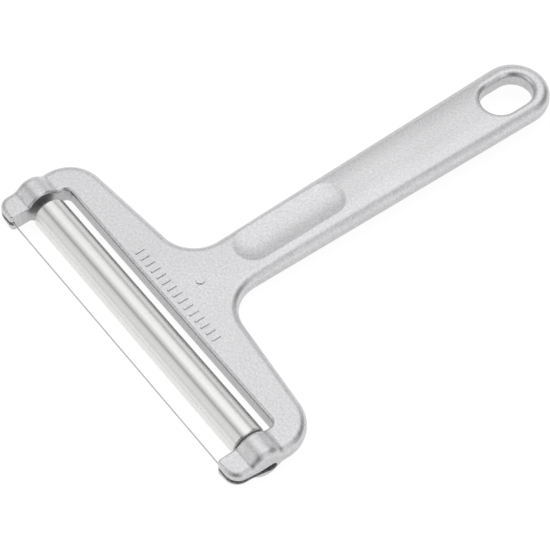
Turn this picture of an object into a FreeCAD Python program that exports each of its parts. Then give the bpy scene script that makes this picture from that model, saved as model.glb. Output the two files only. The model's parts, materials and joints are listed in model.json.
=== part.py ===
"""Roller cheese slicer: die-cast frame, turned roller on an axle, and a stretched cutting wire.

Lengths in millimetres. X runs along the roller, Y from the arm tips to the hanging hole and Z up.
The origin is the middle of the outline, at the height of the lowest point.
"""

import math
import os

import FreeCAD, Part
import Sketcher

# Driving dimensions: alias, value, meaning.
DIMENSIONS = [
    ("total_length", 180.0, "tip of the arms to the end of the handle"),
    ("half_width", 67.0, "centre line to the outside of the corners"),
    ("frame_thick", 7.1, "thickness of the flat casting"),
    ("boss_radius", 6.5, "round bosses on the roller's axis"),
    ("valley_radius", 2.0, "blend between a boss and the flats beside it"),
    ("boss_to_end", 12.9, "roller axis to the end of the tips"),
    ("arm_inner", 57.0, "centre line to the inside face of an arm"),
    ("tip_radius", 4.6, "outer half of an arm's round end"),
    ("tip_corner", 1.3, "inner corner of an arm's end"),
    ("fork_depth", 22.2, "end of the tips to the front wall of the crossbar"),
    ("fork_corner", 2.4, "inside corners of the fork"),
    ("rear_offset", 50.63, "middle of the outline to the rear edge, square to the edge"),
    ("rear_angle", 5.7, "sweep of the rear edge in degrees"),
    ("corner_radius", 13.0, "outside corners of the frame"),
    ("neck_radius", 12.4, "blend between crossbar and handle"),
    ("handle_half", 10.92, "half width of the handle at the middle of the outline"),
    ("handle_angle", 1.05, "widening of each side of the handle in degrees"),
    ("outer_round", 3.0, "edge rounding of the outside"),
    ("inner_round", 1.2, "edge rounding of the fork's front wall"),
    ("lip_round", 0.7, "edge rounding of an arm's inside at its end"),
    ("end_round", 1.5, "top edge rounding at the front of an arm's end"),
    ("end_round_under", 2.0, "bottom edge rounding at the front of an arm's end"),
    ("tip_round", 2.3, "top edge rounding where an arm's end meets its outside"),
    ("hole_from_end", 15.7, "centre of the hanging hole to the end of the handle"),
    ("hole_half_straight", 3.0, "half the distance between the hole's end arcs"),
    ("hole_radius", 6.7, "end arcs of the hanging hole"),
    ("hole_round", 2.2, "edge rounding of the hanging hole"),
    ("recess_front", 39.2, "middle of the outline to the front end of the thumb recess"),
    ("recess_back", 4.1, "middle of the outline to the back end of the thumb recess"),
    ("recess_half_width", 6.8, "half width of the thumb recess"),
    ("recess_depth", 1.15, "depth of the thumb recess"),
    ("recess_shift", 1.4, "thumb recess off the centre line"),
    ("wire_dia", 0.5, "cutting wire"),
    ("wire_height", 3.22, "wire's plane above the back plane at the centre of a tip"),
    ("wire_bend", 3.6, "bend of the wire's centre line round a tip"),
    ("wire_tilt", 6.0, "fall of the wire's plane from the tips to the barrels in degrees"),
    ("groove_width", 1.8, "wire groove"),
    ("pocket_radius", 1.7, "round end of a barrel pocket"),
    ("pocket_from_end", 14.1, "end of the tips to the centre of the pocket's round end"),
    ("pocket_neck", 10.0, "end of the tips to the narrow end of the pocket"),
    ("pocket_floor", 1.1, "pocket floor behind the wire's centre line"),
    ("barrel_dia", 1.5, "crimped barrel"),
    ("barrel_front", 12.2, "end of the tips to the front of a barrel"),
    ("barrel_length", 2.8, "crimped barrel"),
    ("axle_dia", 3.0, "roller axle"),
    ("axle_half", 60.8, "half length of the axle"),
    ("socket_dia", 3.04, "blind axle socket"),
    ("socket_depth", 4.0, "blind axle socket"),
    ("roller_dia", 12.0, "roller tube outside"),
    ("roller_bore", 10.0, "roller tube inside"),
    ("roller_length", 110.4, "roller tube"),
    ("roller_shift", 1.1, "roller pushed towards the right arm by its end float"),
    ("roller_round", 0.8, "rounding of the tube's ends"),
    ("bush_length", 8.0, "part of a bush inside the tube"),
    ("bush_flange", 0.4, "thickness of a bush's flange"),
    ("bush_flange_dia", 10.4, "flange of a bush"),
    ("bush_bore", 3.08, "running bore of a bush"),
    ("tally_height", 0.35, "raised casting tally"),
    ("tally_front", 65.4, "middle of the outline to the front of the tally"),
    ("tally_bar", 3.4, "length of a tally bar"),
    ("tally_width", 0.7, "width of a tally bar"),
    ("tally_pitch", 3.0, "spacing of the tally bars"),
    ("tally_dot", 54.6, "middle of the outline to the tally dot"),
    ("tally_dot_dia", 3.2, "tally dot"),
]
VALUE = {alias: value for alias, value, meaning in DIMENSIONS}
TALLY_BARS = 15

doc = FreeCAD.newDocument("cheese_slicer")


def build_sheet():
    """The spreadsheet that drives every sketch and feature."""
    sheet = doc.addObject("Spreadsheet::Sheet", "dims")
    for row, (alias, value, meaning) in enumerate(DIMENSIONS, start=1):
        sheet.set("A%d" % row, meaning)
        sheet.set("B%d" % row, str(value))
        sheet.setAlias("B%d" % row, alias)
    doc.recompute()


def bind(obj, prop, expression):
    """Tie a property to the sheet: an alias in angle brackets becomes that cell."""
    obj.setExpression(prop, expression.replace("<", "dims.").replace(">", ""))


def new_body(name, label):
    body = doc.addObject("PartDesign::Body", name)
    body.Label = label
    return body


def plane(body, role):
    return next(item for item in body.Origin.OriginFeatures if item.Role == role)


def new_sketch(body, name, role, offset=None):
    """A sketch on one of the body's origin planes, moved along the plane's normal by an expression."""
    sketch = body.newObject("Sketcher::SketchObject", name)
    sketch.AttachmentSupport = [(plane(body, role), "")]
    sketch.MapMode = "FlatFace"
    if offset:
        bind(sketch, "AttachmentOffset.Base.z", offset)
    return sketch


def tilt(sketch, axis, across, up, out):
    """Lean a sketch with the wire's plane about one of its own axes and move it by three expressions."""
    lean = FreeCAD.Rotation(FreeCAD.Vector(*axis), VALUE["wire_tilt"])
    sketch.AttachmentOffset = FreeCAD.Placement(FreeCAD.Vector(0, 0, 0), lean)
    bind(sketch, "AttachmentOffset.Rotation.Angle", "<wire_tilt> * 1 deg")
    bind(sketch, "AttachmentOffset.Base.x", across)
    bind(sketch, "AttachmentOffset.Base.y", up)
    bind(sketch, "AttachmentOffset.Base.z", out)


def point(x, y):
    return FreeCAD.Vector(x, y, 0)


def add_line(sketch, start, end):
    return sketch.addGeometry(Part.LineSegment(point(*start), point(*end)), False)


def add_arc(sketch, centre, radius, from_deg, to_deg):
    """An arc drawn anticlockwise between two directions; its start is point 1 and its end point 2."""
    circle = Part.Circle(point(*centre), FreeCAD.Vector(0, 0, 1), radius)
    return sketch.addGeometry(Part.ArcOfCircle(circle, math.radians(from_deg), math.radians(to_deg)), False)


def add_circle(sketch, centre, radius):
    circle = Part.Circle(point(*centre), FreeCAD.Vector(0, 0, 1), radius)
    return sketch.addGeometry(circle, False)


def relate(sketch, kind, *items):
    sketch.addConstraint(Sketcher.Constraint(kind, *items))


def dimension(sketch, kind, items, value, name, expression):
    """A driving dimension with a first value, then tied to the sheet."""
    index = sketch.addConstraint(Sketcher.Constraint(kind, *items, value))
    sketch.renameConstraint(index, name)
    bind(sketch, "Constraints.%s" % name, expression)


def from_origin(sketch, geometry, end, across, up, name, across_expression, up_expression):
    """Place a point of a sketch by its two distances from the origin, signs included."""
    dimension(sketch, "DistanceX", (-1, 1, geometry, end), across, name + "_x", across_expression)
    dimension(sketch, "DistanceY", (-1, 1, geometry, end), up, name + "_y", up_expression)


def pad(body, sketch, name, length=None, symmetric=False, backwards=False):
    feature = body.newObject("PartDesign::Pad", name)
    feature.Profile = sketch
    feature.Reversed = backwards
    if symmetric:
        feature.SideType = "Symmetric"
    bind(feature, "Length", length)
    return feature


def pocket(body, sketch, name, length, backwards=False, symmetric=False):
    """A pocket that must take material away."""
    doc.recompute()
    before = body.Shape.Volume
    feature = body.newObject("PartDesign::Pocket", name)
    feature.Profile = sketch
    feature.Reversed = backwards
    if symmetric:
        feature.SideType = "Symmetric"
    bind(feature, "Length", length)
    doc.recompute()
    assert body.Shape.Volume < before - 0.01, name
    return feature


def on_circle(centre, radius, degrees):
    angle = math.radians(degrees)
    return centre[0] + radius * math.cos(angle), centre[1] + radius * math.sin(angle)


def meeting_point(angle_a, offset_a, angle_b, offset_b):
    """Where two lines meet, each given by its normal's direction in degrees and its offset."""
    ax, ay = on_circle((0, 0), 1, angle_a)
    bx, by = on_circle((0, 0), 1, angle_b)
    scale = ax * by - ay * bx
    return (offset_a * by - offset_b * ay) / scale, (ax * offset_b - bx * offset_a) / scale


def outline_sketch(body):
    """The right half of the casting's outline, from the fork's front wall round to the handle's end."""
    v = VALUE
    end = v["total_length"] / 2
    wall = v["fork_depth"] - end
    inner = v["arm_inner"]
    fork = v["fork_corner"]
    tip = (inner + v["tip_radius"], v["tip_radius"] - end)
    rear = 90 - v["rear_angle"]
    side = -v["handle_angle"]
    rear_offset = -v["rear_offset"]
    corner = meeting_point(0, v["half_width"] - v["corner_radius"], rear, rear_offset - v["corner_radius"])
    neck = meeting_point(side, v["handle_half"] + v["neck_radius"], rear, rear_offset + v["neck_radius"])
    lean = math.sin(math.radians(v["handle_angle"]))
    end_radius = (v["handle_half"] + lean * end) / (1 + lean)
    crown = (0, end - end_radius)
    run = (corner[0] - tip[0], corner[1] - tip[1])
    arm = math.degrees(
        math.atan2(run[1], run[0])
        - math.acos((v["tip_radius"] - v["corner_radius"]) / math.hypot(*run))
    )
    sketch = new_sketch(body, "outline", "XY_Plane", "<boss_radius>")
    front = add_line(sketch, (0, wall), (inner - fork, wall))
    fork_arc = add_arc(sketch, (inner - fork, wall - fork), fork, 0, 90)
    small = v["tip_corner"]
    inside = add_line(sketch, (inner, wall - fork), (inner, small - end))
    end_corner = add_arc(sketch, (inner + small, small - end), small, 180, 270)
    tip_front = add_line(sketch, (inner + small, -end), (tip[0], -end))
    tip_arc = add_arc(sketch, tip, v["tip_radius"], 270, 360 + arm)
    outside = add_line(
        sketch, on_circle(tip, v["tip_radius"], arm), on_circle(corner, v["corner_radius"], arm)
    )
    corner_arc = add_arc(sketch, corner, v["corner_radius"], arm, rear)
    back = add_line(
        sketch, on_circle(corner, v["corner_radius"], rear), on_circle(neck, v["neck_radius"], 180 + rear)
    )
    neck_arc = add_arc(sketch, neck, v["neck_radius"], 180 + side, 180 + rear)
    grip = add_line(
        sketch, on_circle(neck, v["neck_radius"], 180 + side), on_circle(crown, end_radius, side)
    )
    end_arc = add_arc(sketch, crown, end_radius, side, 90)
    middle = add_line(sketch, (0, end), (0, wall))
    relate(sketch, "Tangent", front, 2, fork_arc, 2)
    relate(sketch, "Tangent", fork_arc, 1, inside, 1)
    relate(sketch, "Tangent", inside, 2, end_corner, 1)
    relate(sketch, "Tangent", end_corner, 2, tip_front, 1)
    relate(sketch, "Tangent", tip_front, 2, tip_arc, 1)
    relate(sketch, "Tangent", tip_arc, 2, outside, 1)
    relate(sketch, "Tangent", outside, 2, corner_arc, 1)
    relate(sketch, "Tangent", corner_arc, 2, back, 1)
    relate(sketch, "Tangent", back, 2, neck_arc, 2)
    relate(sketch, "Tangent", neck_arc, 1, grip, 1)
    relate(sketch, "Tangent", grip, 2, end_arc, 1)
    relate(sketch, "Coincident", end_arc, 2, middle, 1)
    relate(sketch, "Coincident", middle, 2, front, 1)
    relate(sketch, "Horizontal", front)
    relate(sketch, "Vertical", inside)
    relate(sketch, "Horizontal", tip_front)
    relate(sketch, "PointOnObject", middle, 1, -2)
    relate(sketch, "PointOnObject", middle, 2, -2)
    relate(sketch, "PointOnObject", end_arc, 3, -2)
    dimension(sketch, "Radius", (fork_arc,), fork, "fork_corner", "<fork_corner>")
    dimension(sketch, "Radius", (end_corner,), small, "tip_corner", "<tip_corner>")
    dimension(sketch, "Radius", (tip_arc,), v["tip_radius"], "tip", "<tip_radius>")
    dimension(sketch, "DistanceX", (-1, 1, tip_arc, 3), tip[0], "tip_across", "<arm_inner> + <tip_radius>")
    dimension(sketch, "Radius", (corner_arc,), v["corner_radius"], "corner", "<corner_radius>")
    dimension(sketch, "Radius", (neck_arc,), v["neck_radius"], "neck", "<neck_radius>")
    dimension(sketch, "DistanceX", (-1, 1, inside, 2), inner, "inner", "<arm_inner>")
    tip_place = "<total_length> / 2 - <tip_radius>"
    dimension(sketch, "DistanceY", (tip_arc, 3, -1, 1), -tip[1], "tip_back", tip_place)
    dimension(
        sketch, "DistanceX", (-1, 1, corner_arc, 3), corner[0], "corner_in", "<half_width> - <corner_radius>"
    )
    dimension(sketch, "Distance", (-1, 1, back), v["rear_offset"], "rear", "<rear_offset>")
    sweep = "180 deg - <rear_angle> * 1 deg"
    dimension(sketch, "Angle", (back,), math.radians(180 - v["rear_angle"]), "sweep", sweep)
    dimension(sketch, "Distance", (-1, 1, grip), v["handle_half"], "grip", "<handle_half>")
    widen = "90 deg - <handle_angle> * 1 deg"
    dimension(sketch, "Angle", (grip,), math.radians(90 - v["handle_angle"]), "widen", widen)
    dimension(sketch, "DistanceY", (-1, 1, middle, 1), end, "end", "<total_length> / 2")
    dimension(sketch, "DistanceY", (middle, 2, -1, 1), -wall, "wall", "<total_length> / 2 - <fork_depth>")
    return sketch


def wave_loop(sketch, side):
    """What is cut away above (side 1) or below (side -1) the flats, the valleys and the bosses."""
    v = VALUE
    word = "upper" if side > 0 else "lower"
    axis = (v["boss_to_end"] - v["total_length"] / 2, v["boss_radius"])
    half = v["frame_thick"] / 2
    limit = v["total_length"] / 2 + 5
    level = axis[1] + side * half
    rise = math.degrees(math.asin((half + v["valley_radius"]) / (v["boss_radius"] + v["valley_radius"])))
    reach = (v["boss_radius"] + v["valley_radius"]) * math.cos(math.radians(rise))
    near = (axis[0] - reach, level + side * v["valley_radius"])
    far = (axis[0] + reach, level + side * v["valley_radius"])
    outer = axis[1] + side * (v["boss_radius"] + 2)
    if side > 0:
        boss = add_arc(sketch, axis, v["boss_radius"], rise, 180 - rise)
        front = add_arc(sketch, near, v["valley_radius"], 270, 360 - rise)
        rear = add_arc(sketch, far, v["valley_radius"], 180 + rise, 270)
        boss_near, boss_far, front_flat, front_boss, rear_boss, rear_flat = 2, 1, 1, 2, 1, 2
    else:
        boss = add_arc(sketch, axis, v["boss_radius"], 180 + rise, 360 - rise)
        front = add_arc(sketch, near, v["valley_radius"], rise, 90)
        rear = add_arc(sketch, far, v["valley_radius"], 90, 180 - rise)
        boss_near, boss_far, front_flat, front_boss, rear_boss, rear_flat = 1, 2, 2, 1, 2, 1
    tip_flat = add_line(sketch, (-limit, level), (near[0], level))
    grip_flat = add_line(sketch, (far[0], level), (limit, level))
    end_line = add_line(sketch, (limit, level), (limit, outer))
    far_line = add_line(sketch, (limit, outer), (-limit, outer))
    tip_line = add_line(sketch, (-limit, outer), (-limit, level))
    relate(sketch, "Tangent", tip_flat, 2, front, front_flat)
    relate(sketch, "Tangent", front, front_boss, boss, boss_near)
    relate(sketch, "Tangent", boss, boss_far, rear, rear_boss)
    relate(sketch, "Tangent", rear, rear_flat, grip_flat, 1)
    relate(sketch, "Coincident", grip_flat, 2, end_line, 1)
    relate(sketch, "Coincident", end_line, 2, far_line, 1)
    relate(sketch, "Coincident", far_line, 2, tip_line, 1)
    relate(sketch, "Coincident", tip_line, 2, tip_flat, 1)
    relate(sketch, "Horizontal", tip_flat)
    relate(sketch, "Horizontal", grip_flat)
    relate(sketch, "Horizontal", far_line)
    relate(sketch, "Vertical", end_line)
    relate(sketch, "Vertical", tip_line)
    relate(sketch, "Equal", front, rear)
    dimension(sketch, "Radius", (boss,), v["boss_radius"], word + "_boss", "<boss_radius>")
    dimension(sketch, "Radius", (front,), v["valley_radius"], word + "_valley", "<valley_radius>")
    axis_place = "<total_length> / 2 - <boss_to_end>"
    dimension(sketch, "DistanceX", (boss, 3, -1, 1), -axis[0], word + "_axis_y", axis_place)
    dimension(sketch, "DistanceY", (-1, 1, boss, 3), axis[1], word + "_axis_z", "<boss_radius>")
    sign = "+" if side > 0 else "-"
    level_expression = "<boss_radius> %s <frame_thick> / 2" % sign
    dimension(sketch, "DistanceY", (-1, 1, tip_flat, 1), level, word + "_tip_level", level_expression)
    dimension(sketch, "DistanceY", (-1, 1, grip_flat, 2), level, word + "_grip_level", level_expression)
    dimension(
        sketch,
        "DistanceY",
        (boss, 3, far_line, 1) if side > 0 else (far_line, 1, boss, 3),
        v["boss_radius"] + 2,
        word + "_clear",
        "<boss_radius> + 2",
    )
    dimension(sketch, "DistanceX", (-1, 1, end_line, 1), limit, word + "_end", "<total_length> / 2 + 5")
    dimension(sketch, "DistanceX", (tip_line, 1, -1, 1), limit, word + "_tip", "<total_length> / 2 + 5")


def wave_sketch(body):
    """The side view's cut: it leaves flats, valleys and round bosses over the whole half width."""
    sketch = new_sketch(body, "side_profile", "YZ_Plane")
    wave_loop(sketch, 1)
    wave_loop(sketch, -1)
    return sketch


def is_wall(face):
    """Whether a face stands upright everywhere."""
    u0, u1, v0, v1 = face.ParameterRange
    spots = [(u, v) for u in (u0, (u0 + u1) / 2, u1) for v in (v0, v1)]
    return all(abs(face.normalAt(u, v).z) < 1e-6 for u, v in spots)


def share(value, start, end):
    """How far a value has gone from start to end, kept between 0 and 1."""
    return min(1.0, max(0.0, (value - start) / (end - start)))


def rim_radius(x, y, upper):
    """The edge rounding wanted at a place on the half outline: small in the fork, smallest at the
    arm's end on the inside, growing round the end and full from the roller's axis on. The bottom
    edge is rounder at the end than the top edge."""
    v = VALUE
    inner = v["arm_inner"]
    wall = v["fork_depth"] - v["total_length"] / 2
    axis_y = v["boss_to_end"] - v["total_length"] / 2
    tip_x = inner + v["tip_radius"]
    tip_y = v["tip_radius"] - v["total_length"] / 2
    side_round = v["tip_round"] if upper else v["outer_round"]
    front_round = v["end_round"] if upper else v["end_round_under"]
    if x > tip_x + 0.1:
        return side_round + share(y, tip_y, axis_y) * (v["outer_round"] - side_round)
    if y > wall + 0.1:
        return v["outer_round"]
    if y < tip_y:
        return v["lip_round"] + share(x, inner, tip_x) * (front_round - v["lip_round"])
    if x < inner - 0.1:
        return v["inner_round"]
    return v["inner_round"] + share(y, wall - v["fork_corner"], tip_y) * (v["lip_round"] - v["inner_round"])


def rounding_radii(shape):
    """Each rim edge of the half casting with its radius at both ends. A chain of edges runs the way
    of the first edge given, so the arcs round the two tips are given first and the other edges are
    put in the order of the chain."""
    v = VALUE
    tip_x = v["arm_inner"] + v["tip_radius"]
    tip_y = v["tip_radius"] - v["total_length"] / 2
    tips = []
    others = []
    outward = {}
    for index, edge in enumerate(shape.Edges, start=1):
        walls = [face for face in shape.ancestorsOfType(edge, Part.Face) if is_wall(face)]
        middle = edge.valueAt((edge.FirstParameter + edge.LastParameter) / 2)
        if len(walls) != 1 or abs(middle.x) < 1e-6:
            continue
        start = edge.valueAt(edge.FirstParameter)
        end = edge.valueAt(edge.LastParameter)
        upper = middle.z > v["boss_radius"]
        if middle.x > tip_x and middle.y < tip_y:
            outward[upper] = start.x < end.x
            radii = [rim_radius(spot.x, spot.y, upper) for spot in (start, end)]
            tips.append((index, radii[0], radii[1]))
            continue
        outside = middle.x > tip_x
        first, last = sorted((start, end), key=lambda spot: spot.y if outside else spot.x - spot.y)
        radii = [rim_radius(spot.x, spot.y, upper) for spot in (first, last)]
        others.append((index, upper, radii[0], radii[1]))
    for index, upper, first, last in others:
        tips.append((index, first, last) if outward[upper] else (index, last, first))
    return tips


def rounded(base, name, radii):
    feature = doc.addObject("Part::Fillet", name)
    feature.Base = base
    feature.Edges = radii
    doc.recompute()
    return feature


def cut(base, tool, name):
    """Take a tool away from a base; it must remove material."""
    feature = doc.addObject("Part::Cut", name)
    feature.Base = base
    feature.Tool = tool
    feature.Refine = True
    doc.recompute()
    assert feature.Shape.Volume < base.Shape.Volume - 0.01, name
    return feature


def mirror(base, name):
    """The same object on the other side of the middle."""
    feature = doc.addObject("Part::Mirroring", name)
    feature.Source = base
    feature.Base = FreeCAD.Vector(0, 0, 0)
    feature.Normal = FreeCAD.Vector(1, 0, 0)
    return feature


def fuse(parts, name):
    feature = doc.addObject("Part::MultiFuse", name)
    feature.Shapes = parts
    feature.Refine = True
    doc.recompute()
    return feature


WIRE_LEVEL = "(<boss_radius> - <frame_thick> / 2 + <wire_height>)"
TOP_LEVEL = "(<boss_radius> + <frame_thick> / 2)"
RUN_X = "(<arm_inner> + <tip_radius> + <wire_bend>)"
TIP_X = "(<arm_inner> + <tip_radius>)"
TIP_Y = "(<tip_radius> - <total_length> / 2)"
AXIS_Y = "(<boss_to_end> - <total_length> / 2)"


def groove_tool():
    """Everything outside the groove's floor, one groove thick: it slots the front and side of a tip."""
    v = VALUE
    body = new_body("groove_tool", "groove_tool")
    sketch = new_sketch(body, "groove", "XY_Plane")
    tilt(sketch, (-1, 0, 0), "0", TIP_Y, WIRE_LEVEL)
    tip = (v["arm_inner"] + v["tip_radius"], 0)
    floor = v["wire_bend"] - v["wire_dia"] / 2
    back = v["pocket_from_end"] - v["tip_radius"]
    start_x = v["arm_inner"] - 3
    far_x = v["half_width"] + 6
    front = -v["tip_radius"] - 5
    entry = add_line(sketch, (start_x, tip[1] - floor), (tip[0], tip[1] - floor))
    bend = add_arc(sketch, tip, floor, 270, 360)
    run = add_line(sketch, (tip[0] + floor, tip[1]), (tip[0] + floor, back))
    out = add_line(sketch, (tip[0] + floor, back), (far_x, back))
    side = add_line(sketch, (far_x, back), (far_x, front))
    low = add_line(sketch, (far_x, front), (start_x, front))
    close = add_line(sketch, (start_x, front), (start_x, tip[1] - floor))
    relate(sketch, "Tangent", entry, 2, bend, 1)
    relate(sketch, "Tangent", bend, 2, run, 1)
    for first, second in ((run, out), (out, side), (side, low), (low, close), (close, entry)):
        relate(sketch, "Coincident", first, 2, second, 1)
    for line in (entry, out, low):
        relate(sketch, "Horizontal", line)
    for line in (side, close):
        relate(sketch, "Vertical", line)
    dimension(sketch, "Radius", (bend,), floor, "floor", "<wire_bend> - <wire_dia> / 2")
    dimension(sketch, "DistanceX", (-1, 1, bend, 3), tip[0], "tip_x", TIP_X)
    relate(sketch, "PointOnObject", bend, 3, -1)
    from_origin(sketch, out, 2, far_x, back, "back", "<half_width> + 6", "<pocket_from_end> - <tip_radius>")
    from_origin(sketch, close, 1, start_x, front, "front", "<arm_inner> - 3", "-<tip_radius> - 5")
    relate(sketch, "Vertical", run)
    pad(body, sketch, "groove_slab", "<groove_width>", symmetric=True)
    return body


def pocket_tool():
    """The keyhole that takes a barrel: a round end that narrows to the groove."""
    v = VALUE
    body = new_body("pocket_tool", "pocket_tool")
    sketch = new_sketch(body, "keyhole", "YZ_Plane")
    tilt(sketch, (0, 0, -1), TIP_Y, WIRE_LEVEL, RUN_X + " - <pocket_floor>")
    centre = (v["pocket_from_end"] - v["tip_radius"], 0)
    neck = v["pocket_neck"] - v["tip_radius"]
    half = v["groove_width"] / 2
    slope = math.degrees(math.atan2(v["pocket_radius"] - half, centre[0] - neck))
    upper = on_circle(centre, v["pocket_radius"], 90 + slope)
    lower = on_circle(centre, v["pocket_radius"], 270 - slope)
    end = add_arc(sketch, centre, v["pocket_radius"], 270 - slope, 360 + 90 + slope)
    top = add_line(sketch, upper, (neck, half))
    mouth = add_line(sketch, (neck, half), (neck, -half))
    bottom = add_line(sketch, (neck, -half), lower)
    relate(sketch, "Tangent", end, 2, top, 1)
    relate(sketch, "Coincident", top, 2, mouth, 1)
    relate(sketch, "Coincident", mouth, 2, bottom, 1)
    relate(sketch, "Tangent", bottom, 2, end, 1)
    relate(sketch, "Vertical", mouth)
    dimension(sketch, "Radius", (end,), v["pocket_radius"], "round_end", "<pocket_radius>")
    dimension(sketch, "DistanceY", (mouth, 2, mouth, 1), 2 * half, "mouth", "<groove_width>")
    dimension(sketch, "DistanceX", (-1, 1, end, 3), centre[0], "centre", "<pocket_from_end> - <tip_radius>")
    relate(sketch, "PointOnObject", end, 3, -1)
    from_origin(
        sketch, mouth, 1, neck, half, "neck", "<pocket_neck> - <tip_radius>", "<groove_width> / 2"
    )
    pad(body, sketch, "keyhole_plug", "<half_width> + 3 - " + RUN_X + " + <pocket_floor>")
    return body


def disc(body, name, role, offset, across, up, across_expression, up_expression, outer, inner=None):
    """A sketch of a circle, or of two for a ring; the diameters are aliases."""
    sketch = new_sketch(body, name, role, offset)
    circles = [(outer, "outer")] + ([(inner, "inner")] if inner else [])
    first = None
    for alias, word in circles:
        circle = add_circle(sketch, (across, up), VALUE[alias] / 2)
        dimension(sketch, "Diameter", (circle,), VALUE[alias], word, "<%s>" % alias)
        if first is None:
            first = circle
            from_origin(sketch, circle, 3, across, up, "centre", across_expression, up_expression)
        else:
            relate(sketch, "Coincident", circle, 3, first, 3)
    return sketch


def on_axis(body, name, offset, outer, inner=None):
    """A disc or ring round the roller's axis, square to it."""
    y = VALUE["boss_to_end"] - VALUE["total_length"] / 2
    return disc(
        body, name, "YZ_Plane", offset, y, VALUE["boss_radius"], AXIS_Y, "<boss_radius>", outer, inner
    )


def socket_tool():
    body = new_body("socket_tool", "socket_tool")
    sketch = on_axis(body, "socket", "<arm_inner> - 2", "socket_dia")
    pad(body, sketch, "socket_plug", "<socket_depth> + 2")
    return body


def hole_tool():
    """An oblong plug for the hanging hole."""
    v = VALUE
    body = new_body("hole_tool", "hole_tool")
    sketch = new_sketch(body, "oblong", "XY_Plane")
    centre = v["total_length"] / 2 - v["hole_from_end"]
    high = centre + v["hole_half_straight"]
    low = centre - v["hole_half_straight"]
    radius = v["hole_radius"]
    top = add_arc(sketch, (0, high), radius, 0, 180)
    left = add_line(sketch, (-radius, high), (-radius, low))
    bottom = add_arc(sketch, (0, low), radius, 180, 360)
    right = add_line(sketch, (radius, low), (radius, high))
    for first, second in ((top, left), (left, bottom), (bottom, right), (right, top)):
        relate(sketch, "Tangent", first, 2, second, 1)
    relate(sketch, "Vertical", left)
    relate(sketch, "PointOnObject", top, 3, -2)
    relate(sketch, "PointOnObject", bottom, 3, -2)
    dimension(sketch, "Radius", (top,), radius, "end_radius", "<hole_radius>")
    place = "<total_length> / 2 - <hole_from_end>"
    dimension(sketch, "DistanceY", (-1, 1, top, 3), high, "high", place + " + <hole_half_straight>")
    dimension(sketch, "DistanceY", (-1, 1, bottom, 3), low, "low", place + " - <hole_half_straight>")
    pad(body, sketch, "oblong_plug", "2 * <boss_radius>")
    return body


def recess_tool():
    """A round-ended roller shape that presses the thumb recess into the handle's top."""
    v = VALUE
    body = new_body("recess_tool", "recess_tool")
    sketch = new_sketch(body, "recess", "YZ_Plane", "-<recess_shift>")
    half = v["recess_half_width"]
    deep = v["recess_depth"]
    radius = (half * half + deep * deep) / (2 * deep)
    level = v["boss_radius"] + v["frame_thick"] / 2 - deep + radius
    front = half - v["recess_front"]
    rear = v["recess_back"] - half
    axis = add_line(sketch, (front - radius, level), (rear + radius, level))
    rear_end = add_arc(sketch, (rear, level), radius, 270, 360)
    bottom = add_line(sketch, (front, level - radius), (rear, level - radius))
    front_end = add_arc(sketch, (front, level), radius, 180, 270)
    relate(sketch, "Coincident", axis, 2, rear_end, 2)
    relate(sketch, "Coincident", axis, 1, front_end, 1)
    relate(sketch, "Tangent", rear_end, 1, bottom, 2)
    relate(sketch, "Tangent", front_end, 2, bottom, 1)
    relate(sketch, "Horizontal", axis)
    relate(sketch, "PointOnObject", rear_end, 3, axis)
    relate(sketch, "PointOnObject", front_end, 3, axis)
    relate(sketch, "Equal", rear_end, front_end)
    round_size = "((<recess_half_width> ^ 2 + <recess_depth> ^ 2) / (2 * <recess_depth>))"
    dimension(sketch, "Radius", (front_end,), radius, "round_size", round_size)
    from_origin(
        sketch,
        front_end,
        3,
        front,
        level,
        "front",
        "<recess_half_width> - <recess_front>",
        TOP_LEVEL + " - <recess_depth> + " + round_size,
    )
    dimension(
        sketch, "DistanceX", (-1, 1, rear_end, 3), rear, "rear", "<recess_back> - <recess_half_width>"
    )
    turn = body.newObject("PartDesign::Revolution", "recess_form")
    turn.Profile = sketch
    turn.ReferenceAxis = (sketch, ["Edge%d" % (axis + 1)])
    turn.Angle = 360
    return body


def tally_marks():
    """Raised casting marks: a row of plain bars along the fork and one dot behind them."""
    v = VALUE
    body = new_body("tally", "tally")
    sketch = new_sketch(body, "bars", "XY_Plane", TOP_LEVEL + " - 1")
    low = -v["tally_front"]
    high = low + v["tally_bar"]
    for bar in range(TALLY_BARS):
        left = (bar - (TALLY_BARS - 1) / 2) * v["tally_pitch"] - v["tally_width"] / 2
        right = left + v["tally_width"]
        word = "bar_%d" % bar
        bottom = add_line(sketch, (left, low), (right, low))
        side = add_line(sketch, (right, low), (right, high))
        top = add_line(sketch, (right, high), (left, high))
        back = add_line(sketch, (left, high), (left, low))
        for first, second in ((bottom, side), (side, top), (top, back), (back, bottom)):
            relate(sketch, "Coincident", first, 2, second, 1)
        for line in (bottom, top):
            relate(sketch, "Horizontal", line)
        for line in (side, back):
            relate(sketch, "Vertical", line)
        place = "%g * <tally_pitch> - <tally_width> / 2" % (bar - (TALLY_BARS - 1) / 2)
        from_origin(sketch, bottom, 1, left, low, word, place, "-<tally_front>")
        dimension(sketch, "DistanceX", (bottom, 1, bottom, 2), right - left, word + "_wide", "<tally_width>")
        dimension(sketch, "DistanceY", (side, 1, side, 2), high - low, word + "_long", "<tally_bar>")
    dot = add_circle(sketch, (0, -v["tally_dot"]), v["tally_dot_dia"] / 2)
    dimension(sketch, "Diameter", (dot,), v["tally_dot_dia"], "dot_dia", "<tally_dot_dia>")
    from_origin(sketch, dot, 3, 0, -v["tally_dot"], "dot", "0", "-<tally_dot>")
    pad(body, sketch, "raised", "1 + <tally_height>")
    return body


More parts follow.
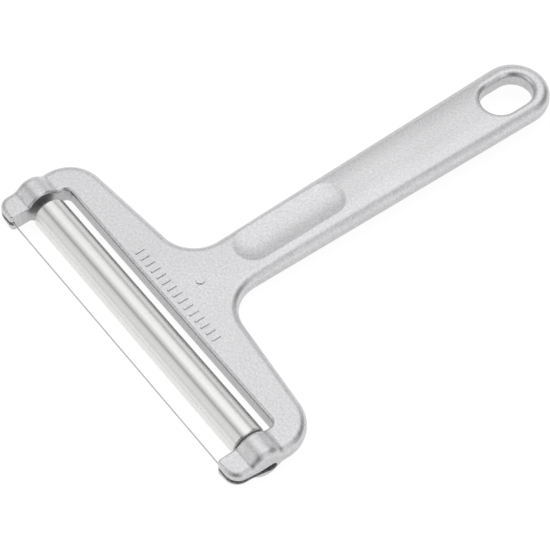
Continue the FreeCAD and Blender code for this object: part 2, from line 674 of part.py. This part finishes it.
def hole_rims(shape):
    """The edges of the hanging hole on the top and on the back."""
    v = VALUE
    centre = v["total_length"] / 2 - v["hole_from_end"]
    reach = v["hole_half_straight"] + v["hole_radius"] + 0.01
    rims = []
    for index, edge in enumerate(shape.Edges, start=1):
        box = edge.BoundBox
        inside = box.YMin > centre - reach and box.YMax < centre + reach
        if inside and abs(box.XMax) < reach and box.XMax - box.XMin + box.YMax - box.YMin > 0.1:
            if abs(box.XMin) < v["hole_radius"] + 0.01 and box.ZLength < 0.01:
                rims.append((index, v["hole_round"], v["hole_round"]))
    return rims


def build_frame():
    """The casting: a rounded half, slotted and bored, mirrored, then pierced and marked."""
    half = new_body("half_casting", "half_casting")
    pad(half, outline_sketch(half), "slab", "2 * <boss_radius> + 1", symmetric=True)
    pocket(half, wave_sketch(half), "flats", "4 * <half_width>", symmetric=True)
    right = rounded(half, "rounded_half", rounding_radii(half.Shape))
    right = cut(right, groove_tool(), "with_groove")
    right = cut(right, pocket_tool(), "with_pocket")
    right = cut(right, socket_tool(), "with_socket")
    whole = fuse([right, mirror(right, "left_half")], "whole_casting")
    whole = cut(whole, hole_tool(), "with_hole")
    whole = rounded(whole, "with_rims", hole_rims(whole.Shape))
    whole = cut(whole, recess_tool(), "with_recess")
    whole = fuse([whole, tally_marks()], "frame")
    whole.Label = "frame"
    return whole


def across_wire(body, name, behind_tip, place, outer, inner=None):
    """A disc or ring square to a run of the wire, at a distance behind the centre of the tip."""
    sketch = new_sketch(body, name, "XZ_Plane")
    tilt(
        sketch,
        (-1, 0, 0),
        place,
        "%s - (%s) * sin(<wire_tilt> * 1 deg)" % (WIRE_LEVEL, behind_tip),
        "-%s - (%s) * cos(<wire_tilt> * 1 deg)" % (TIP_Y, behind_tip),
    )
    circles = [(outer, "outer")] + ([(inner, "inner")] if inner else [])
    for alias, word in circles:
        circle = add_circle(sketch, (0, 0), VALUE[alias] / 2)
        dimension(sketch, "Diameter", (circle,), VALUE[alias], word, "<%s>" % alias)
        relate(sketch, "Coincident", circle, 3, -1, 1)
    return sketch


def build_wire():
    """The cutting wire: across between the tips, round each tip and back to its barrel."""
    v = VALUE
    body = new_body("cutting_wire", "cutting_wire")
    sketch = new_sketch(body, "wire_path", "XY_Plane")
    tilt(sketch, (-1, 0, 0), "0", TIP_Y, WIRE_LEVEL)
    bend = v["wire_bend"]
    tip_x = v["arm_inner"] + v["tip_radius"]
    back = v["barrel_front"] + v["barrel_length"] - v["tip_radius"]
    right_run = add_line(sketch, (tip_x + bend, back), (tip_x + bend, 0))
    right_bend = add_arc(sketch, (tip_x, 0), bend, 270, 360)
    across = add_line(sketch, (tip_x, -bend), (-tip_x, -bend))
    left_bend = add_arc(sketch, (-tip_x, 0), bend, 180, 270)
    left_run = add_line(sketch, (-tip_x - bend, 0), (-tip_x - bend, back))
    relate(sketch, "Tangent", right_run, 2, right_bend, 2)
    relate(sketch, "Tangent", right_bend, 1, across, 1)
    relate(sketch, "Tangent", across, 2, left_bend, 2)
    relate(sketch, "Tangent", left_bend, 1, left_run, 1)
    relate(sketch, "Horizontal", across)
    relate(sketch, "Vertical", right_run)
    relate(sketch, "Vertical", left_run)
    dimension(sketch, "Radius", (right_bend,), bend, "right_bend", "<wire_bend>")
    dimension(sketch, "Radius", (left_bend,), bend, "left_bend", "<wire_bend>")
    relate(sketch, "PointOnObject", right_bend, 3, -1)
    dimension(sketch, "DistanceX", (-1, 1, right_bend, 3), tip_x, "right_tip", TIP_X)
    dimension(sketch, "DistanceX", (left_bend, 3, -1, 1), tip_x, "left_tip", TIP_X)
    end = "<barrel_front> + <barrel_length> - <tip_radius>"
    dimension(sketch, "DistanceY", (-1, 1, right_run, 1), back, "right_end", end)
    dimension(sketch, "DistanceY", (-1, 1, left_run, 2), back, "left_end", end)
    section = across_wire(body, "wire_section", end, RUN_X, "wire_dia")
    pipe = body.newObject("PartDesign::AdditivePipe", "drawn_wire")
    pipe.Profile = section
    pipe.Spine = sketch
    doc.recompute()
    length = 2 * back + math.pi * bend + 2 * tip_x
    expected = length * math.pi * (v["wire_dia"] / 2) ** 2
    assert abs(body.Shape.Volume - expected) < 0.005 * expected, "wire volume"


def build_barrel(label, side):
    """A crimped barrel on the wire's end."""
    body = new_body(label, label)
    front = "<barrel_front> - <tip_radius>"
    place = "%d * %s" % (side, RUN_X)
    sketch = across_wire(body, label + "_ring", front, place, "barrel_dia", "wire_dia")
    pad(body, sketch, label + "_sleeve", "<barrel_length>", backwards=True)


def build_axle():
    body = new_body("roller_axle", "roller_axle")
    sketch = on_axis(body, "axle_section", None, "axle_dia")
    pad(body, sketch, "axle_rod", "2 * <axle_half>", symmetric=True)


def round_edges(body, reach):
    """The circular edges of a turned body that lie at a given radius."""
    names = []
    for index, edge in enumerate(body.Shape.Edges, start=1):
        if edge.Curve.TypeId == "Part::GeomCircle" and abs(edge.Curve.Radius - reach) < 1e-4:
            names.append("Edge%d" % index)
    return names


def build_tube():
    """The turned roller, its outer ends rounded."""
    body = new_body("roller_tube", "roller_tube")
    start = "<roller_shift> - <roller_length> / 2"
    sketch = on_axis(body, "tube_section", start, "roller_dia", "roller_bore")
    drawn = pad(body, sketch, "tube", "<roller_length>")
    doc.recompute()
    ends = body.newObject("PartDesign::Fillet", "turned_ends")
    ends.Base = (drawn, round_edges(body, VALUE["roller_dia"] / 2))
    bind(ends, "Radius", "<roller_round>")


def build_bush(label, side):
    """A plastic plug in one end of the tube, with a thin flange outside it."""
    body = new_body(label, label)
    end = "<roller_shift> %s <roller_length> / 2" % ("+" if side > 0 else "-")
    plug = on_axis(body, label + "_plug_ring", end, "roller_bore", "bush_bore")
    pad(body, plug, label + "_plug", "<bush_length>", backwards=side > 0)
    flange = on_axis(body, label + "_flange_ring", end, "bush_flange_dia", "bush_bore")
    pad(body, flange, label + "_flange", "<bush_flange>", backwards=side < 0)


NODES = [
    "frame",
    "roller_axle",
    "roller_tube",
    "roller_bush_left",
    "roller_bush_right",
    "cutting_wire",
    "wire_barrel_left",
    "wire_barrel_right",
]


def write_parts():
    """Check every object, then write one STEP file for each node."""
    doc.recompute()
    for item in doc.Objects:
        assert not {"Invalid", "Error"} & set(item.State), item.Name
    os.makedirs("parts", exist_ok=True)
    for label in NODES:
        item = doc.getObjectsByLabel(label)[0]
        assert not item.Shape.isNull() and item.Shape.isValid(), label
        assert len(item.Shape.Solids) == 1, label
        item.Shape.exportStep("parts/%s.step" % label)


build_sheet()
build_frame()
build_axle()
build_tube()
build_bush("roller_bush_left", -1)
build_bush("roller_bush_right", 1)
build_wire()
build_barrel("wire_barrel_left", -1)
build_barrel("wire_barrel_right", 1)
write_parts()
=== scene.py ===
"""Looks of the roller cheese slicer: materials, pale floor, soft studio light and camera.

Lengths are in metres and angles in degrees. Azimuth turns from the front (-Y) towards the right (+X).
"""

import json
import math

import bpy
from mathutils import Matrix, Vector


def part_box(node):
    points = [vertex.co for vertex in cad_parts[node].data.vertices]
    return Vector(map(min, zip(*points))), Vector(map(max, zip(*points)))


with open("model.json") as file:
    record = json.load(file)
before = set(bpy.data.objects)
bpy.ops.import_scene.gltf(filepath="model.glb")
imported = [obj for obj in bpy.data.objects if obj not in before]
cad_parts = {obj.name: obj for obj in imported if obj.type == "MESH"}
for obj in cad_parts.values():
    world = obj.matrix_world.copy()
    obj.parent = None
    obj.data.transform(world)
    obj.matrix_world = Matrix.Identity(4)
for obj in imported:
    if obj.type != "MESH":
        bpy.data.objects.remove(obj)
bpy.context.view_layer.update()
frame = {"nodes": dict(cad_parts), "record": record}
NODES = frame["nodes"]

WHITE = (1.0, 1.0, 1.0)


def opening(name):
    """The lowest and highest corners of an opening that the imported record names."""
    return next(o["box_m"] for o in frame["record"]["physics"]["openings"] if o["name"] == name)


def middle_y(box):
    """Where the middle of a box lies along the handle."""
    low, high = box
    return (low[1] + high[1]) / 2


# Sizes and places of the casting that the frame has no box for.
BOSS_HEIGHT = 0.00295
FORK_HALF_WIDTH = 0.057
AXLE_TO_FORK_WALL = 0.0093
NECK_FRONT, NECK_REAR = -0.045, -0.02
# Places worked out from the frame and those sizes.
FLAT_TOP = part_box("frame")[1][2] - BOSS_HEIGHT
HOLE_MIDDLE = middle_y(opening("hanging_hole"))
FORK_WALL = middle_y(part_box("roller_axle")) + AXLE_TO_FORK_WALL


def new_material(name):
    """An empty node material with one Principled shader."""
    material = bpy.data.materials.new(name)
    material.use_nodes = True
    tree = material.node_tree
    tree.nodes.clear()
    output = tree.nodes.new("ShaderNodeOutputMaterial")
    shader = tree.nodes.new("ShaderNodeBsdfPrincipled")
    tree.links.new(shader.outputs["BSDF"], output.inputs["Surface"])
    return material, tree, shader


def object_coordinates(tree, scale=(1, 1, 1)):
    """Places on the object itself, stretched by a scale along each axis."""
    where = tree.nodes.new("ShaderNodeTexCoord")
    mapping = tree.nodes.new("ShaderNodeMapping")
    mapping.inputs["Scale"].default_value = scale
    tree.links.new(where.outputs["Object"], mapping.inputs["Vector"])
    return mapping.outputs["Vector"]


def place_parts(tree, output="Object"):
    """X, Y and Z of the place on the object, or of its own normal."""
    where = tree.nodes.new("ShaderNodeTexCoord")
    parts = tree.nodes.new("ShaderNodeSeparateXYZ")
    tree.links.new(where.outputs[output], parts.inputs[0])
    return parts.outputs["X"], parts.outputs["Y"], parts.outputs["Z"]


def noise(tree, vector, scale, detail, roughness=0.5):
    """Cloudy noise from 0 to 1."""
    made = tree.nodes.new("ShaderNodeTexNoise")
    made.inputs["Scale"].default_value = scale
    made.inputs["Detail"].default_value = detail
    made.inputs["Roughness"].default_value = roughness
    tree.links.new(vector, made.inputs["Vector"])
    return made.outputs["Fac"]


def ramp(tree, factor, start, first, end, last):
    """A colour that runs from the first, at start, to the last, at end."""
    made = tree.nodes.new("ShaderNodeValToRGB")
    for element, position, colour in zip(made.color_ramp.elements, (start, end), (first, last)):
        element.position = position
        element.color = (*colour, 1.0)
    tree.links.new(factor, made.inputs["Fac"])
    return made.outputs["Color"]


def spread(tree, factor, low, high):
    """A value from 0 to 1 spread between a low and a high one."""
    made = tree.nodes.new("ShaderNodeMapRange")
    made.inputs["To Min"].default_value = low
    made.inputs["To Max"].default_value = high
    tree.links.new(factor, made.inputs["Value"])
    return made.outputs["Result"]


def smooth_step(tree, value, start, end, gain=1.0):
    """Nothing at start, the full gain at end, whichever of the two is larger."""
    made = tree.nodes.new("ShaderNodeMapRange")
    made.interpolation_type = "SMOOTHSTEP"
    flip = start > end
    made.inputs["From Min"].default_value = end if flip else start
    made.inputs["From Max"].default_value = start if flip else end
    made.inputs["To Min"].default_value = gain if flip else 0.0
    made.inputs["To Max"].default_value = 0.0 if flip else gain
    tree.links.new(value, made.inputs["Value"])
    return made.outputs["Result"]


def arithmetic(tree, operation, first, second=None):
    """One step of arithmetic on node outputs or plain numbers."""
    made = tree.nodes.new("ShaderNodeMath")
    made.operation = operation
    for socket, value in zip(made.inputs, (first, second)):
        if hasattr(value, "links"):
            tree.links.new(value, socket)
        elif value is not None:
            socket.default_value = value
    return made.outputs[0]


def bump(tree, shader, height, strength, distance):
    """Fine relief from a height, linked to the shader's normal."""
    made = tree.nodes.new("ShaderNodeBump")
    made.inputs["Strength"].default_value = strength
    made.inputs["Distance"].default_value = distance
    tree.links.new(height, made.inputs["Height"])
    tree.links.new(made.outputs["Normal"], shader.inputs["Normal"])
    return made


def multiply_colours(tree, first, second):
    """Two colours multiplied."""
    made = tree.nodes.new("ShaderNodeMix")
    made.data_type = "RGBA"
    made.blend_type = "MULTIPLY"
    made.inputs[0].default_value = 1.0
    tree.links.new(first, made.inputs[6])
    tree.links.new(second, made.inputs[7])
    return made.outputs[2]


def painted_upright_shade(tree, low):
    """Painted shade: grey on the casting's upright and under faces, white on the faces that look up.
    """
    half_up = 0.5
    rise = smooth_step(tree, place_parts(tree, "Normal")[2], 0.0, half_up)
    return ramp(tree, rise, 0.0, (low, low, low), 1.0, WHITE)


def painted_corner_shade(tree, low):
    """Painted shade in tight corners: grey where other surfaces are near, white on open faces."""
    near = tree.nodes.new("ShaderNodeAmbientOcclusion")
    near.samples = 8
    near.inputs["Distance"].default_value = 0.012
    return ramp(tree, near.outputs["AO"], 0.25, (low, low, low), 0.75, WHITE)


def handle_crown(tree):
    """The soft fall of the handle's top towards both long edges, as a height."""
    flat_half_width, curve_radius = 0.0025, 0.035
    x, y, _ = place_parts(tree)
    aside = arithmetic(tree, "SUBTRACT", arithmetic(tree, "ABSOLUTE", x), flat_half_width)
    beyond = arithmetic(tree, "MAXIMUM", aside, 0.0)
    square = arithmetic(tree, "MULTIPLY", beyond, beyond)
    fall = arithmetic(tree, "DIVIDE", square, -2.0 * curve_radius)
    on_handle = smooth_step(tree, y, NECK_FRONT, NECK_REAR)
    return arithmetic(tree, "MULTIPLY", fall, on_handle)


def hole_rim(tree, x, y):
    """Full on the hanging hole's rim and nothing away from it."""
    half_straight, rim_radius, fade = 0.003, 0.0096, 0.001
    along = arithmetic(tree, "ABSOLUTE", arithmetic(tree, "SUBTRACT", y, HOLE_MIDDLE))
    past = arithmetic(tree, "MAXIMUM", arithmetic(tree, "SUBTRACT", along, half_straight), 0.0)
    across_square = arithmetic(tree, "MULTIPLY", x, x)
    past_square = arithmetic(tree, "MULTIPLY", past, past)
    radius = arithmetic(tree, "SQRT", arithmetic(tree, "ADD", across_square, past_square))
    return smooth_step(tree, radius, rim_radius, rim_radius - fade)


def fork_rim(tree, x, y):
    """Full on the rim of the fork that holds the roller and nothing away from it."""
    rim_width, fade = 0.0016, 0.0006
    outward = arithmetic(tree, "SUBTRACT", arithmetic(tree, "ABSOLUTE", x), FORK_HALF_WIDTH)
    backward = arithmetic(tree, "SUBTRACT", y, FORK_WALL)
    aside, behind = (arithmetic(tree, "MAXIMUM", value, 0.0) for value in (outward, backward))
    away = arithmetic(tree, "ADD", aside, behind)
    return smooth_step(tree, away, rim_width, rim_width - fade)


def trimmed_edges(tree):
    """Full where the casting's flash was trimmed off the upper rims and the metal rubbed smoother."""
    lowest, full = FLAT_TOP - 0.00265, FLAT_TOP - 0.00125
    x, y, z = place_parts(tree)
    rims = arithmetic(tree, "MAXIMUM", hole_rim(tree, x, y), fork_rim(tree, x, y))
    return arithmetic(tree, "MULTIPLY", rims, smooth_step(tree, z, lowest, full))


def cast_aluminium():
    """Bead-blasted die-cast aluminium: pale, speckled, with a soft sheen, and painted shade on the
    upright walls and in tight corners.
    """
    material, tree, shader = new_material("blasted_cast_aluminium")
    vector = object_coordinates(tree)
    grain = noise(tree, vector, 1200.0, 3.0, 0.75)
    cloud = noise(tree, vector, 60.0, 3.0)
    colour = ramp(tree, grain, 0.3, (0.54, 0.54, 0.55), 0.7, (0.77, 0.77, 0.78))
    patches = ramp(tree, cloud, 0.3, (0.95, 0.95, 0.95), 0.7, WHITE)
    # Random cloudy patches of tone, then painted shade in tight corners and on the upright and under
    # faces.
    for tone_and_painted_shade in (patches, painted_corner_shade(tree, 0.84), painted_upright_shade(tree, 0.86)):
        colour = multiply_colours(tree, colour, tone_and_painted_shade)
    tree.links.new(colour, shader.inputs["Base Color"])
    shader.inputs["Metallic"].default_value = 0.9
    blasted = spread(tree, grain, 0.28, 0.42)
    rubbed = arithmetic(tree, "MULTIPLY", trimmed_edges(tree), -0.03)
    tree.links.new(arithmetic(tree, "ADD", blasted, rubbed), shader.inputs["Roughness"])
    crown = bump(tree, shader, handle_crown(tree), strength=1.0, distance=1.0)
    pitted = bump(tree, shader, grain, strength=0.5, distance=0.00006)
    tree.links.new(crown.outputs["Normal"], pitted.inputs["Normal"])
    return material


def turned_stainless():
    """Turned stainless tube: very fine turning marks round the axis stretch its reflections."""
    material, tree, shader = new_material("turned_stainless")
    vector = object_coordinates(tree)
    grain = noise(tree, vector, 1600.0, 3.0, 0.6)
    rings = noise(tree, object_coordinates(tree, (1.0, 0.03, 0.03)), 2500.0, 2.0)
    ring_share = 0.3
    fine = arithmetic(tree, "MULTIPLY", grain, 1.0 - ring_share)
    turning = arithmetic(tree, "MULTIPLY", rings, ring_share)
    mixed = arithmetic(tree, "ADD", fine, turning)
    colour = ramp(tree, mixed, 0.35, (0.705, 0.705, 0.7), 0.65, (0.8, 0.8, 0.794))
    tree.links.new(colour, shader.inputs["Base Color"])
    shader.inputs["Metallic"].default_value = 1.0
    shader.inputs["Anisotropic"].default_value = 0.85
    shader.inputs["Anisotropic Rotation"].default_value = 0.25
    around = tree.nodes.new("ShaderNodeTangent")
    around.direction_type = "RADIAL"
    around.axis = "X"
    tree.links.new(around.outputs["Tangent"], shader.inputs["Tangent"])
    tree.links.new(spread(tree, grain, 0.23, 0.32), shader.inputs["Roughness"])
    bump(tree, shader, mixed, strength=0.1, distance=0.00003)
    return material


def drawn_steel(name, bright, roughness):
    """Drawn steel with fine darker mottling."""
    material, tree, shader = new_material(name)
    grain = noise(tree, object_coordinates(tree), 1500.0, 2.0)
    dark = tuple(0.85 * part for part in bright)
    tree.links.new(ramp(tree, grain, 0.3, dark, 0.7, bright), shader.inputs["Base Color"])
    shader.inputs["Metallic"].default_value = 1.0
    tree.links.new(spread(tree, grain, roughness - 0.05, roughness + 0.08), shader.inputs["Roughness"])
    bump(tree, shader, grain, strength=0.15, distance=0.00002)
    return material


def bush_plastic():
    """Moulded grey plastic, slightly dull."""
    material, tree, shader = new_material("bush_plastic")
    grain = noise(tree, object_coordinates(tree), 900.0, 3.0)
    colour = ramp(tree, grain, 0.3, (0.14, 0.14, 0.144), 0.7, (0.18, 0.18, 0.185))
    tree.links.new(colour, shader.inputs["Base Color"])
    tree.links.new(spread(tree, grain, 0.45, 0.6), shader.inputs["Roughness"])
    bump(tree, shader, grain, strength=0.2, distance=0.00005)
    return material


def dress(material, *names):
    """The one material of each named node."""
    for name in names:
        slots = NODES[name].data.materials
        slots.clear()
        slots.append(material)


def floor():
    """A pale floor lit from below like a light table, so that it stays white beside the object."""
    floor_size, gap_below = 12, 0.0002
    bpy.ops.mesh.primitive_plane_add(size=floor_size, location=(0, 0, -gap_below))
    made = bpy.context.object
    made.name = "floor"
    material, tree, shader = new_material("pale_floor")
    cloud = noise(tree, object_coordinates(tree), 3.0, 2.0)
    glow = ramp(tree, cloud, 0.3, (0.98, 0.98, 0.98), 0.7, WHITE)
    tree.links.new(spread(tree, cloud, 0.2, 0.23), shader.inputs["Base Color"])
    tree.links.new(glow, shader.inputs["Emission Color"])
    shader.inputs["Emission Strength"].default_value = 0.89
    shader.inputs["Roughness"].default_value = 0.9
    shader.inputs["Specular IOR Level"].default_value = 0.1
    made.data.materials.append(material)


def direction(azimuth, elevation):
    """A unit vector towards an azimuth and an elevation."""
    turn, rise = math.radians(azimuth), math.radians(elevation)
    return Vector((math.sin(turn) * math.cos(rise), -math.cos(turn) * math.cos(rise), math.sin(rise)))


def lobe(tree, where, azimuth, elevation, inner, outer, gain):
    """A soft round patch of light: full within the inner angle of its middle, none past the outer."""
    dot = tree.nodes.new("ShaderNodeVectorMath")
    dot.operation = "DOT_PRODUCT"
    dot.inputs[1].default_value = direction(azimuth, elevation)
    tree.links.new(where, dot.inputs[0])
    near, far = math.cos(math.radians(inner)), math.cos(math.radians(outer))
    return smooth_step(tree, dot.outputs["Value"], far, near, gain)


def panel(tree, where, azimuth, widths, elevation, heights, gain):
    """A soft upright box: full within the first half angle each way, none past the second."""
    turned = tree.nodes.new("ShaderNodeVectorRotate")
    turned.rotation_type = "Z_AXIS"
    turned.inputs["Angle"].default_value = math.radians(90.0 - azimuth)
    tree.links.new(where, turned.inputs["Vector"])
    local = tree.nodes.new("ShaderNodeSeparateXYZ")
    tree.links.new(turned.outputs["Vector"], local.inputs[0])
    aside = arithmetic(tree, "ARCTAN2", local.outputs["Y"], local.outputs["X"])
    rise = arithmetic(tree, "ARCSINE", local.outputs["Z"])
    above = arithmetic(tree, "SUBTRACT", rise, math.radians(elevation))
    wide, high = (arithmetic(tree, "ABSOLUTE", value) for value in (aside, above))
    within_width = smooth_step(tree, wide, math.radians(widths[1]), math.radians(widths[0]))
    within_height = smooth_step(tree, high, math.radians(heights[1]), math.radians(heights[0]), gain)
    return arithmetic(tree, "MULTIPLY", within_width, within_height)


def seam(tree, turn, angle, inner, outer, gain):
    """A dark gap between two long boxes that run along the roller, at an angle round its axis."""
    off = arithmetic(tree, "ABSOLUTE", arithmetic(tree, "SUBTRACT", turn, math.radians(angle)))
    return smooth_step(tree, off, math.radians(outer), math.radians(inner), gain)


def studio(level, lobes, panels, seams):
    """A plain pale studio all round, with soft lights and dark flags in it."""
    made = bpy.data.worlds.new("studio")
    made.use_nodes = True
    tree = made.node_tree
    where = tree.nodes.new("ShaderNodeTexCoord").outputs["Generated"]
    split = tree.nodes.new("ShaderNodeSeparateXYZ")
    tree.links.new(where, split.inputs[0])
    front = arithmetic(tree, "MULTIPLY", split.outputs["Y"], -1.0)
    turn = arithmetic(tree, "ARCTAN2", split.outputs["Z"], front)
    total = level
    for values in lobes:
        total = arithmetic(tree, "ADD", total, lobe(tree, where, *values))
    for values in panels:
        total = arithmetic(tree, "ADD", total, panel(tree, where, *values))
    for values in seams:
        total = arithmetic(tree, "ADD", total, seam(tree, turn, *values))
    sky = tree.nodes["Background"]
    sky.inputs["Color"].default_value = (*WHITE, 1.0)
    tree.links.new(total, sky.inputs["Strength"])
    bpy.context.scene.world = made


def camera():
    """The viewing angle of the product shot: from the right front, well above, with a long lens."""
    distance, roll = 0.7222, 0.14
    target = Vector((0.00887, -0.03134, 0.00295))
    back = direction(52.85, 55.06)
    right = Vector((0, 0, 1)).cross(back).normalized()
    upright = Matrix((right, back.cross(right), back)).transposed()
    rotation = upright @ Matrix.Rotation(math.radians(roll), 3, "Z")
    data = bpy.data.cameras.new("camera")
    data.sensor_width = 36.0
    data.lens = 145.45
    data.clip_start = 0.01
    made = bpy.data.objects.new("camera", data)
    made.matrix_world = Matrix.Translation(target + back * distance) @ rotation.to_4x4()
    bpy.context.scene.collection.objects.link(made)
    bpy.context.scene.camera = made


dress(cast_aluminium(), "frame")
dress(turned_stainless(), "roller_tube")
dress(drawn_steel("axle_steel", (0.55, 0.55, 0.56), 0.3), "roller_axle")
dress(drawn_steel("wire_stainless", (0.6, 0.6, 0.6), 0.3), "cutting_wire")
dress(drawn_steel("barrel_steel", (0.35, 0.35, 0.36), 0.4), "wire_barrel_left", "wire_barrel_right")
dress(bush_plastic(), "roller_bush_left", "roller_bush_right")

# Azimuth, elevation, inner and outer angle, and gain.
OVERHEAD_LIGHTS = [
    (0, 90, 10, 35, 0.07),
    (170, 70, 15, 34, 0.26),
    (216, 64, 12, 36, 0.44),
    (288, 62, 8, 26, 0.26),
]
# Azimuth, half widths, elevation, half heights and gain. A negative gain is a dark flag.
SIDE_PANELS = [
    (104, (8, 26), 20, (32, 48), 0.5),
    (228, (20, 42), 15, (40, 58), 0.12),
    (250, (8, 25), 0, (8, 25), 0.25),
    (207, (12, 30), 3, (14, 28), 0.22),
    (335, (12, 26), 22, (25, 42), 0.42),
    (45, (14, 30), 32, (14, 26), -0.45),
    (156, (10, 24), 18, (18, 32), -0.33),
]
# Angle round the roller from the front, half widths and gain.
SEAMS = [
    (7, 4, 16, -0.16),
    (63, 3, 11, -0.3),
    (146, 3, 11, -0.2),
]
ROOM_LEVEL = 0.62

floor()
studio(ROOM_LEVEL, OVERHEAD_LIGHTS, SIDE_PANELS, SEAMS)
camera()
bpy.context.scene.view_settings.view_transform = "Standard"
